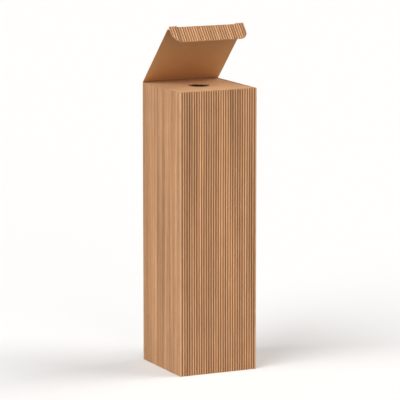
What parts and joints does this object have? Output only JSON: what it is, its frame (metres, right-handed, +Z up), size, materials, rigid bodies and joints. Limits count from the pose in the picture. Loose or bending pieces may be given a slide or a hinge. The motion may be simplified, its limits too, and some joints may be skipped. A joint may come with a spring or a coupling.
{
  "type": "bottle shipping box",
  "caption": "Tall square-section box of single-face corrugated board with a hinged tuck lid and a neck-hole insert, for shipping a bottle.",
  "frame": {"origin": "on the floor, at the middle of the box's footprint", "axes": "+Z up along the box's height, -Y towards the front wall, +X to the right seen from the front; the lid is hinged along the back wall's top"},
  "size_m": [0.095, 0.1, 0.39],
  "materials": {
    "corrugated_board": "matt brown kraft, fluted side out",
    "insert_board": "matt brown kraft, smooth side out"
  },
  "bodies": {
    "box": {"box_body": "corrugated_board", "insert": "insert_board"},
    "lid": {"lid": "corrugated_board"},
    "tuck_flap": {"tuck_flap": "corrugated_board"}
  },
  "joints": [
    {"name": "lid_hinge", "type": "hinge", "parent": "box", "child": "lid", "pos_m": [0, 0.0488, 0.32035], "axis": [-1, 0, 0], "range_deg": [-45, 135]},
    {"name": "tuck_hinge", "type": "hinge", "parent": "lid", "child": "tuck_flap", "pos_m": [0, -0.01858, 0.38773], "axis": [-1, 0, 0], "range_deg": [0, 94]}
  ]
}
